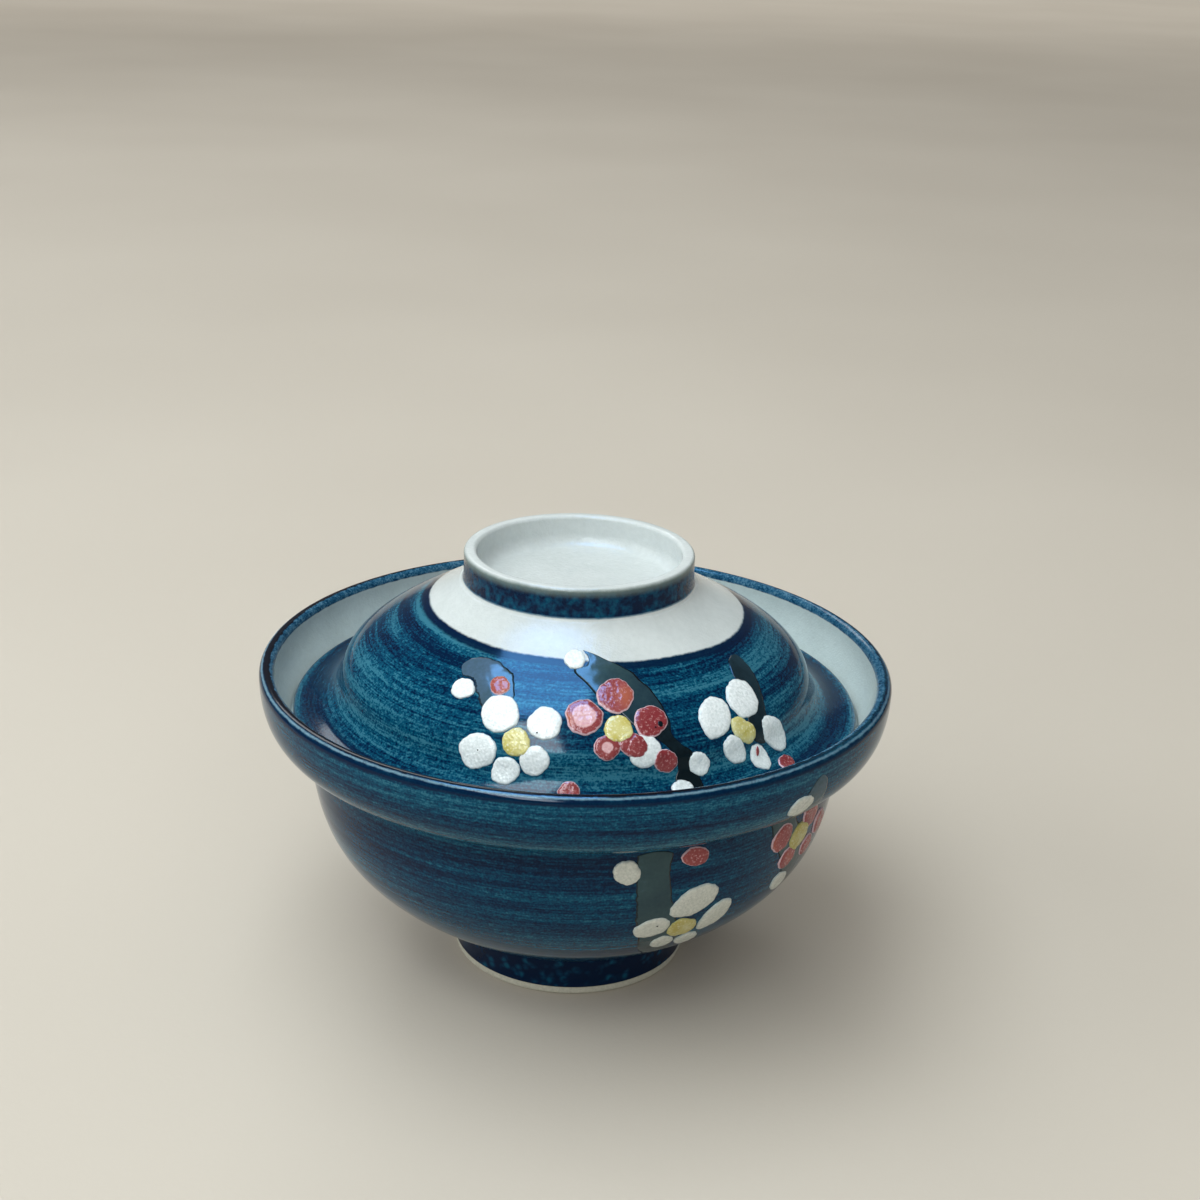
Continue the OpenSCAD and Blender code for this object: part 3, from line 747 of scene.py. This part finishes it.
def brushed_blue(paint, along, seed, plan, contrast):
    """Colour and relief of the blue glaze: rings of brush marks, dashes and a fine speckle."""
    x, y, _ = paint.parts(paint.place)
    outward = paint.node("ShaderNodeVectorMath", {0: paint.vector(x, y)}, operation="NORMALIZE").outputs[0]
    out_x, out_y, _ = paint.parts(outward)

    def streaks(turns, pitch, offset, detail, rough):
        """A noise drawn out round the ware, with a pitch along the outline."""
        return paint.noise(1.0, detail, rough, paint.vector(
            paint.times(out_x, turns), paint.times(out_y, turns),
            paint.times(along, 1 / pitch, seed + offset)))

    wide = streaks(0.7, 4.6 * MM, 0.0, 1.0, 0.4)
    bands = streaks(1.4, 1.7 * MM, 7.3, 1.0, 0.5)
    lines = streaks(1.7, 0.52 * MM, 3.1, 2.0, 0.55)
    dashes = streaks(34.0, 0.42 * MM, 5.7, 1.0, 0.5)
    patches = paint.noise(75.0)
    cloudy = paint.noise(480.0, 2.0, 0.6)
    speckle = paint.noise(1900.0, 1.0, 0.6)
    depth = plan
    for field, weight in (
            (wide, 0.8), (bands, 0.75), (lines, 0.95), (dashes, 0.7), (patches, 0.15), (cloudy, 0.3),
            (speckle, 0.95)):
        depth = paint.sway(depth, field, weight * contrast)
    colour = paint.ramp(depth, [(0.14, NAVY), (0.38, DEEP_BLUE), (0.58, TEAL), (0.84, PALE_TEAL)])
    return colour, (lines, speckle, cloudy)


def finished_glaze(paint, colour, fields, pale_share, bare):
    """Glossy glaze with brush ridges and an orange-peel, rougher where it is pale, and matt where bare."""
    lines, speckle, cloudy = fields
    relief = paint.bump(lines, 0.16, 0.05 * MM)
    relief = paint.bump(cloudy, paint.times(pale_share, 0.35, 0.2), 0.08 * MM, relief)
    relief = paint.bump(speckle, paint.times(pale_share, 0.9, 0.02), 0.09 * MM, relief)
    roughness = paint.times(bare, BARE_ROUGHNESS - GLAZE_ROUGHNESS, GLAZE_ROUGHNESS)
    return paint.finish(colour, relief, roughness)


def pale_glaze(paint, tint):
    """Colour of the pale glaze inside and under the ware: cool white with faint grey clouds and specks."""
    clouds = paint.noise(55.0, 3.0, 0.55)
    fine = paint.noise(700.0, 2.0, 0.6)
    share = paint.times(fine, 0.35, paint.times(clouds, 0.65))
    return paint.ramp(share, [(0.3, tinted(tint, PALE_SHADE)), (0.7, tinted(tint, PALE))])


def ragged(paint, along, reach):
    """The length along the outline, pushed to and fro by a noise, so that a glaze edge is uneven."""
    coarse = paint.noise(180.0, 2.0, 0.6)
    fine = paint.noise(900.0, 2.0, 0.6)
    both = paint.math("ADD", paint.times(coarse, 1.2), paint.times(fine, 0.8))
    return paint.times(both, 2 * reach, paint.math("SUBTRACT", along, 2 * reach))


def band(paint, value, start, end, soft):
    """1 between start and end, and 0 outside, with soft edges."""
    rise = paint.step(value, start - soft, start + soft)
    fall = paint.step(value, end - soft, end + soft, 1.0, 0.0)
    return paint.times(rise, fall)


def spotted_blue(paint):
    """Colour of the thick blue glaze on the foot: navy with round teal spots."""
    spots = paint.step(paint.cells(420.0), 0.12, 0.62, 1.0, 0.0)
    spots = paint.times(spots, paint.step(paint.noise(260.0), 0.42, 0.62))
    return paint.ramp(spots, [(0.0, NAVY), (0.5, DEEP_BLUE), (1.0, TEAL)])


def bowl_glaze(marks):
    """Blue outside, with a dark and a light line at the lip, pale inside, and a bare foot."""
    paint = Paint("bowl_glaze", GLAZE_ROUGHNESS, GLAZE_IOR)
    along = paint.number("along")
    uneven = ragged(paint, along, 0.25 * MM)
    foot_face, foot, body, flare, lip = (
        marks[name] for name in ("foot_face", "foot", "body", "flare", "lip"))
    to_flare, to_lip = (flare - body) / MM, (lip - body) / MM
    plan = tone(paint, along, body, lip, [
        (0, 0.52), (12, 0.49), (30, 0.46), (46, 0.4), (54, 0.31), (to_flare, 0.5), (to_flare + 5, 0.58),
        (to_lip - 6, 0.52), (to_lip - 2, 0.44), (to_lip, 0.45)])
    colour, fields = brushed_blue(paint, along, 4.0, plan, 0.74)
    _, speckle, cloudy = fields
    pale = pale_glaze(paint, BOWL_PALE_TINT)

    in_foot = band(paint, uneven, foot, body + 0.8 * MM, 0.4 * MM)
    colour = paint.mix(in_foot, colour, spotted_blue(paint))

    # The lip is half a circle, and its lines are placed in quarters of the way over it
    quarter = math.pi * lip_r / 4
    soft = 0.2 * MM
    specked = paint.sway(along, cloudy, 0.9 * MM)
    fine_specked = paint.sway(along, cloudy, 0.4 * MM)
    mottle = paint.times(cloudy, 0.4, paint.times(speckle, 0.6))
    x, y, _ = paint.parts(paint.place)
    # Painted light: both lines on the lip fade towards the right, away from the light, where the painted
    # highlight is weaker
    fade = paint.step(x, 0.2 * RIM_R, 0.95 * RIM_R, 1.0, 0.6)

    # A navy line below the lip, then a light line where the glaze runs thin, brightened as a painted
    # highlight that is weaker to the right
    below = band(paint, specked, lip - 0.5 * MM, lip + 0.7 * quarter, 0.3 * MM)
    colour = paint.mix(paint.times(below, 0.85), colour, NAVY)
    light = band(paint, fine_specked, lip + 0.78 * quarter, lip + 1.14 * quarter, soft)
    light = paint.times(light, paint.step(mottle, 0.3, 0.55, 0.55, 0.95))
    colour = paint.mix(paint.times(light, fade), colour, LIP_PALE_AND_HIGHLIGHT)

    # A dark line over the top, and past it mottled blue, which begins sooner at the right and the back
    moved = paint.times(x, 0.3 * quarter / RIM_R, specked)
    moved = paint.times(y, 0.25 * quarter / RIM_R, moved)
    past_dark = paint.step(moved, lip + 2 * quarter - soft, lip + 2 * quarter + soft)
    mottled = paint.ramp(mottle, [(0.36, DEEP_BLUE), (0.5, MID_BLUE), (0.64, EDGE_BLUE)])
    colour = paint.mix(past_dark, colour, mottled)
    dark = paint.step(specked, lip + 1.3 * quarter - soft, lip + 1.3 * quarter + soft)
    dark = paint.times(dark, paint.math("SUBTRACT", 1.0, past_dark))
    colour = paint.mix(paint.times(dark, fade), colour, IRON_LINE)

    inside = paint.step(fine_specked, lip + 3.55 * quarter, lip + 3.8 * quarter)
    colour = paint.mix(inside, colour, pale)
    recess = paint.step(uneven, foot_face - 0.6 * MM, foot_face, 1.0, 0.0)
    colour = paint.mix(recess, colour, pale)
    bare = band(paint, along, foot_face - 0.3 * MM, foot + 0.02 * MM, 0.05 * MM)
    clay = paint.ramp(paint.noise(1500.0, 3.0, 0.6), [
        (0.3, tinted((0.86, 0.86, 0.86), CLAY)), (0.7, tinted((1.1, 1.1, 1.1), CLAY))])
    colour = paint.mix(bare, colour, clay)
    return finished_glaze(paint, colour, fields, inside, bare)


def lid_glaze(marks):
    """Blue outside with a pale disc round the ring, pale inside the ring and underneath."""
    paint = Paint("lid_glaze", GLAZE_ROUGHNESS, GLAZE_IOR)
    along = paint.number("along")
    uneven = ragged(paint, along, 0.2 * MM)
    edge_low, edge_high, brim, dome, ring, ring_top = (
        marks[name] for name in ("edge_low", "edge_high", "brim", "dome", "ring", "ring_top"))
    plan = tone(paint, along, brim, ring, [
        (0, 0.46), (4, 0.3), (7, 0.48), (11, 0.6), (17, 0.55), (21, 0.42), (27, 0.46), (32, 0.5),
        (34.5, 0.2), (36, 0.5), (38.5, 0.8), (40.5, 0.4)])
    colour, fields = brushed_blue(paint, along, 0.0, plan, 1.05)
    # Its pale glaze is darkened by a tint: painted shade
    pale = pale_glaze(paint, LID_PALE_PAINTED_SHADE)

    # A thin light-blue line along the top of the lid's edge: a painted highlight
    edge = band(paint, along, edge_high + 0.9 * MM, edge_high + 1.3 * MM, 0.15 * MM)
    colour = paint.mix(paint.times(edge, 0.4), colour, EDGE_BLUE)
    brim_dark = band(paint, uneven, brim + 0.8 * MM, brim + 5.5 * MM, 1.2 * MM)
    colour = paint.mix(paint.times(brim_dark, 0.55), colour, NAVY)

    # The pale disc round the ring, inside a navy line
    x, y, _ = paint.parts(paint.place)
    centred = paint.vector(paint.math("SUBTRACT", x, DISC_PLACE[0]), paint.math("SUBTRACT", y, DISC_PLACE[1]))
    reach = paint.node("ShaderNodeVectorMath", {0: centred}, operation="LENGTH").outputs["Value"]
    reach = paint.sway(reach, paint.noise(40.0, 1.0), 1.6 * MM)
    reach = paint.sway(reach, paint.noise(700.0, 2.0, 0.6), 0.5 * MM)
    outline = band(paint, reach, DISC_R, DISC_R + 1.9 * MM, 0.4 * MM)
    on_top = paint.step(along, brim, brim + 4 * MM)
    colour = paint.mix(paint.times(paint.times(outline, on_top), 0.94), colour, NAVY)
    disc = paint.step(reach, DISC_R - 0.35 * MM, DISC_R + 0.25 * MM, 1.0, 0.0)
    disc = paint.times(disc, paint.step(along, dome, dome + MM))
    colour = paint.mix(disc, colour, pale)

    # The mottled band round the ring, with a light line at its root
    clots = paint.noise(520.0, 2.0, 0.6)
    ring_blue = paint.ramp(clots, [(0.4, NAVY), (0.53, DEEP_BLUE), (0.68, TEAL)])
    ring_colour = paint.mix(paint.step(uneven, ring_top - 2.0 * MM, ring_top + 0.4 * MM), ring_blue, KHAKI)
    on_ring = paint.step(uneven, ring + 0.8 * MM, ring + 1.2 * MM)
    on_ring = paint.times(on_ring, paint.step(uneven, ring_top - 0.3 * MM, ring_top + 1.1 * MM, 1.0, 0.0))
    colour = paint.mix(on_ring, colour, ring_colour)
    root = band(paint, along, ring + 0.85 * MM, ring + 1.25 * MM, 0.12 * MM)
    colour = paint.mix(paint.times(root, 0.6), colour, RING_LINE)

    under = paint.step(along, edge_low - 0.3 * MM, edge_low + 0.6 * MM, 1.0, 0.0)
    colour = paint.mix(under, colour, pale)
    bare = band(paint, along, marks["seat_face"] + MM, edge_low - 0.2 * MM, 0.15 * MM)
    colour = paint.mix(bare, colour, CLAY)
    return finished_glaze(paint, colour, fields, disc, bare)


def enamel_relief(paint, strength):
    """The grainy skin of thick enamel with tiny bubbles, and the numbers for its grain and bubbles."""
    grain = paint.noise(1700.0, 2.0, 0.6)
    broad = paint.noise(520.0)
    domes = paint.step(paint.cells(1600.0), 0.1, 0.75, 1.0, 0.0)
    low = paint.bump(broad, strength * 0.6, 0.12 * MM)
    low = paint.bump(domes, strength * 0.8, 0.06 * MM, low)
    return paint.bump(grain, strength * 0.6, 0.05 * MM, low), grain, domes


def edged(paint, colour, normal, strength, edge):
    """The finished enamel, with its thin edge in another colour."""
    rim = paint.step(paint.number("share"), 0.9, 1.0)
    return paint.finish(paint.mix(paint.times(rim, strength), colour, edge), normal)


def with_bubbles(paint, colour, grain, domes, low, high, strength, bubble):
    """The colour with paler bubbles where the grain passes from low to high."""
    spots = paint.times(paint.step(grain, low, high), domes)
    return paint.mix(paint.times(spots, strength), colour, bubble)


def white_enamel(body, tint):
    """White enamel with fine bubbles and a thin blue-grey edge."""
    paint = Paint(body + "_white_enamel", 0.2, ENAMEL_IOR)
    normal, grain, domes = enamel_relief(paint, 0.85)
    colour = paint.ramp(grain, [
        (0.3, tinted(tint, (0.60, 0.665, 0.665))), (0.65, tinted(tint, (0.76, 0.82, 0.82)))])
    colour = with_bubbles(paint, colour, grain, domes, 0.45, 0.62, 0.5, tinted(tint, (0.86, 0.90, 0.90)))
    return edged(paint, colour, normal, 0.45, (0.30, 0.42, 0.47))


def red_enamel():
    """Red enamel, orange in places, with a pale fringe, and a paler middle on some blobs."""
    paint = Paint("red_enamel", 0.16, ENAMEL_IOR)
    normal, grain, domes = enamel_relief(paint, 0.5)
    share, pale = paint.number("share"), paint.number("pale")
    colour = paint.ramp(paint.noise(130.0, 1.0), [
        (0.3, (0.20, 0.029, 0.034)), (0.58, (0.27, 0.062, 0.062)), (0.76, (0.37, 0.105, 0.054))])
    colour = with_bubbles(paint, colour, grain, domes, 0.49, 0.63, 0.6, (0.64, 0.38, 0.38))
    inside = paint.step(paint.math("SUBTRACT", pale, share), -0.06, 0.06)
    middle = paint.mix(grain, (0.52, 0.20, 0.22), (0.84, 0.66, 0.66))
    colour = paint.mix(paint.times(inside, 0.85), colour, middle)
    fringe = paint.step(paint.times(grain, 0.12, share), 0.95, 1.02)
    colour = paint.mix(paint.times(fringe, 0.8), colour, (0.66, 0.50, 0.55))
    return paint.finish(colour, normal)


def yellow_enamel(body, tint):
    """Yellow enamel with pale bubbles and a thin green edge."""
    paint = Paint(body + "_yellow_enamel", 0.22, ENAMEL_IOR)
    normal, grain, domes = enamel_relief(paint, 0.6)
    colour = paint.ramp(paint.noise(260.0), [
        (0.35, tinted(tint, (0.50, 0.44, 0.11))), (0.6, tinted(tint, (0.59, 0.56, 0.24))),
        (0.75, tinted(tint, (0.68, 0.68, 0.42)))])
    colour = with_bubbles(paint, colour, grain, domes, 0.45, 0.65, 0.75, tinted(tint, (0.82, 0.83, 0.60)))
    return edged(paint, colour, normal, 0.4, (0.36, 0.42, 0.22))


def branch_enamel():
    """Thin enamel, slate grey to nearly black along each branch, with a dark outline."""
    paint = Paint("branch_enamel", 0.12, ENAMEL_IOR)
    share, dark = paint.number("share"), paint.number("dark")
    fine = paint.noise(1100.0, 2.0, 0.6)
    value = paint.sway(dark, paint.noise(110.0), 0.5)
    value = paint.sway(value, fine, 0.2)
    colour = paint.ramp(value, [
        (0.0, (0.072, 0.130, 0.215)), (0.3, (0.030, 0.064, 0.071)), (0.55, (0.013, 0.034, 0.048)),
        (0.9, (0.003, 0.008, 0.011))])
    rim = paint.step(paint.times(fine, 0.1, share), 0.93, 1.0)
    colour = paint.mix(paint.times(rim, 0.8), colour, (0.002, 0.004, 0.007))
    return paint.finish(colour, paint.bump(fine, 0.08, 0.05 * MM))


def floor_material():
    """Plain pale matt cloth."""
    paint = Paint("floor_cloth", 0.85, 1.4)
    paint.shader.inputs["Specular IOR Level"].default_value = 0
    colour = paint.ramp(paint.noise(3.0), [(0.3, (0.505, 0.465, 0.398)), (0.7, (0.54, 0.50, 0.43))])
    return paint.finish(colour, paint.bump(paint.noise(900.0), 0.15, 0.2 * MM))


# The ware

bowl_line = bowl_outline()
bowl_marks = bowl_line[2]
lid_line = lid_outline()
lid_marks = lid_line[2]

bowl = lathe(
    "bowl_ware", bowl_line, bowl_glaze(bowl_marks), throwing_marks(bowl_marks["body"], bowl_marks["flare"]))
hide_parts("bowl")
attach(bowl, "bowl")

lid = lathe(
    "lid_ware", lid_line, lid_glaze(lid_marks), throwing_marks(lid_marks["brim"], lid_marks["ring"]))
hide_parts("lid")
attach(lid, "lid")

# The enamel

SHARED_ENAMEL = {"branch": branch_enamel(), "red": red_enamel()}


def enamel(body, tint, side, branches, tones, specks, layers):
    """The branches, petals and flower centres of one piece of ware, each colour as one object.

    The layers of blobs go from the lowest to the highest, with the dark specks over them all.
    """
    materials = dict(SHARED_ENAMEL, white=white_enamel(body, tint), yellow=yellow_enamel(body, tint))
    lower, skins = [], {}
    for number, (colour, rows) in enumerate(layers):
        luck = random.Random(SEED + 1000 * number + len(rows))
        blobs = [Blob(side, row, PETAL_T, luck) for row in rows]
        skins[colour] = [blob_skins(blobs, lower, BLOB_SUNK)]
        lower = lower + blobs
    luck = random.Random(SEED)
    marks = blob_skins([Blob(side, row, SPECK_T, luck) for row in specks], lower, 0)
    marks[2]["dark"] = [1.0] * len(marks[0])
    skins["branch"] = [
        branch_skin(side, stations, ends, random.Random(SEED + 31 * k))
        for k, (stations, ends) in enumerate(zip(branches, tones))
    ] + [marks]
    nodes = {
        "branch": "_branches", "white": "_white_petals", "red": "_red_petals", "yellow": "_yellow_centres"}
    for colour, node in nodes.items():
        made = gathered(body + "_" + colour + "_enamel", skins[colour], materials[colour])
        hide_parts(body + node)
        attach(made, body)


# The bowl's enamel is darkened and warmed by its tint: painted shade
enamel("bowl", BOWL_ENAMEL_PAINTED_SHADE, BOWL_SIDE, BOWL_BRANCHES, BOWL_BRANCH_TONES, BOWL_SPECKS, [
    ("white", BOWL_WHITE), ("red", BOWL_RED), ("yellow", BOWL_YELLOW)
])
enamel("lid", LID_ENAMEL_TINT, LID_SIDE, LID_BRANCHES, LID_BRANCH_TONES, LID_SPECKS, [
    ("white", LID_WHITE), ("red", LID_RED + LID_TOUCHES), ("yellow", LID_YELLOW)
])

# The floor

FLOOR_HALF = 12.0
corners = [(x * FLOOR_HALF, y * FLOOR_HALF, 0) for x, y in ((-1, -1), (1, -1), (1, 1), (-1, 1))]
floor = mesh_object("floor", corners, [(0, 1, 2, 3)], floor_material(), {})

# Light

WARM_WHITE = (1.0, 0.98, 0.95)
FILL_WHITE = (1.0, 0.97, 0.93)
COOL_WHITE = (0.95, 0.98, 1.0)
WINDOW_WHITE = (0.86, 0.93, 0.98)
PANE_WHITE = (0.80, 0.91, 1.0)
SKY_BLUE = (0.15, 0.45, 1.0)
ROOM_GREY = (0.88, 0.89, 0.90, 1)
ROOM_STRENGTH = 0.14

BOWL_MIDDLE = (0, 0, 0.05)
LID_TOP = (0, 0, 0.1)
FAR_LAMPS = 8
FAR_LAMP_REACH = 4.6


def area_light(name, place, size, power, colour, target=None, mirrored=True, spread=True):
    """A soft lamp facing down or towards a target; mirrored in gloss and spread on matt things or not."""
    light = bpy.data.lights.new(name, "AREA")
    light.shape = "RECTANGLE"
    light.size, light.size_y = size
    light.energy = power
    light.color = colour
    thing = bpy.data.objects.new(name, light)
    thing.location = place
    if target is not None:
        thing.rotation_mode = "QUATERNION"
        thing.rotation_quaternion = (Vector(target) - Vector(place)).to_track_quat("-Z", "Y")
    thing.visible_glossy = mirrored
    thing.visible_diffuse = spread
    scene.collection.objects.link(thing)


area_light("ceiling", (-1.8, 0, 2.4), (7, 16), 150, WARM_WHITE, mirrored=False)

# A circle of wide lamps keeps the far floor from going dark
for k in range(FAR_LAMPS):
    turn = 2 * math.pi * k / FAR_LAMPS
    place = (FAR_LAMP_REACH * math.sin(turn), FAR_LAMP_REACH * math.cos(turn), 1.0)
    area_light("far_floor_%d" % k, place, (3.6, 3.6), 26, WARM_WHITE, mirrored=False)

area_light("window", (-0.28, -0.4, 1.1), (0.7, 1.6), 12.5, WINDOW_WHITE, mirrored=False)

# The glaze mirrors these two as the blue and the pale part of a window
area_light("window_sky", (-0.16, 0.04, 1.0), (0.46, 0.48), 19, SKY_BLUE, spread=False)
area_light("window_pane", (-0.30, -1.05, 1.0), (0.38, 1.5), 36, PANE_WHITE, spread=False)

area_light("back_glow", (-0.5, 1.6, 1.25), (0.8, 0.5), 6, COOL_WHITE, LID_TOP)
area_light("front_fill", (-1.8, -1.8, 1.1), (2.2, 1.4), 9.5, FILL_WHITE, BOWL_MIDDLE, mirrored=False)
area_light("right_fill", (0.5, -1.7, 1.2), (1.2, 1.2), 5, FILL_WHITE, BOWL_MIDDLE, mirrored=False)
area_light("left_fill", (-1.6, -0.1, 1.0), (1.0, 1.0), 8, COOL_WHITE, BOWL_MIDDLE, mirrored=False)

world = bpy.data.worlds.new("studio")
scene.world = world
world.use_nodes = True
room = world.node_tree.nodes["Background"]
room.inputs["Color"].default_value = ROOM_GREY
room.inputs["Strength"].default_value = ROOM_STRENGTH

# Camera: the lens and place that match the photograph's view of the bowl

CAMERA_PLACE = (5.147 * MM, -430.847 * MM, 255.153 * MM)
CAMERA_RIGHT = (0.99944, 0.01191, 0.03118)
CAMERA_BACK = (0.0, -0.93420, 0.35674)
CAMERA_LENS = 58.48

camera_data = bpy.data.cameras.new("camera")
camera_data.lens = CAMERA_LENS
camera = bpy.data.objects.new("camera", camera_data)
back = Vector(CAMERA_BACK).normalized()
right = Vector(CAMERA_RIGHT).normalized()
up = back.cross(right)
camera.matrix_world = Matrix.Translation(CAMERA_PLACE) @ Matrix((right, up, back)).transposed().to_4x4()
scene.collection.objects.link(camera)
scene.camera = camera

scene.view_settings.view_transform = "Standard"
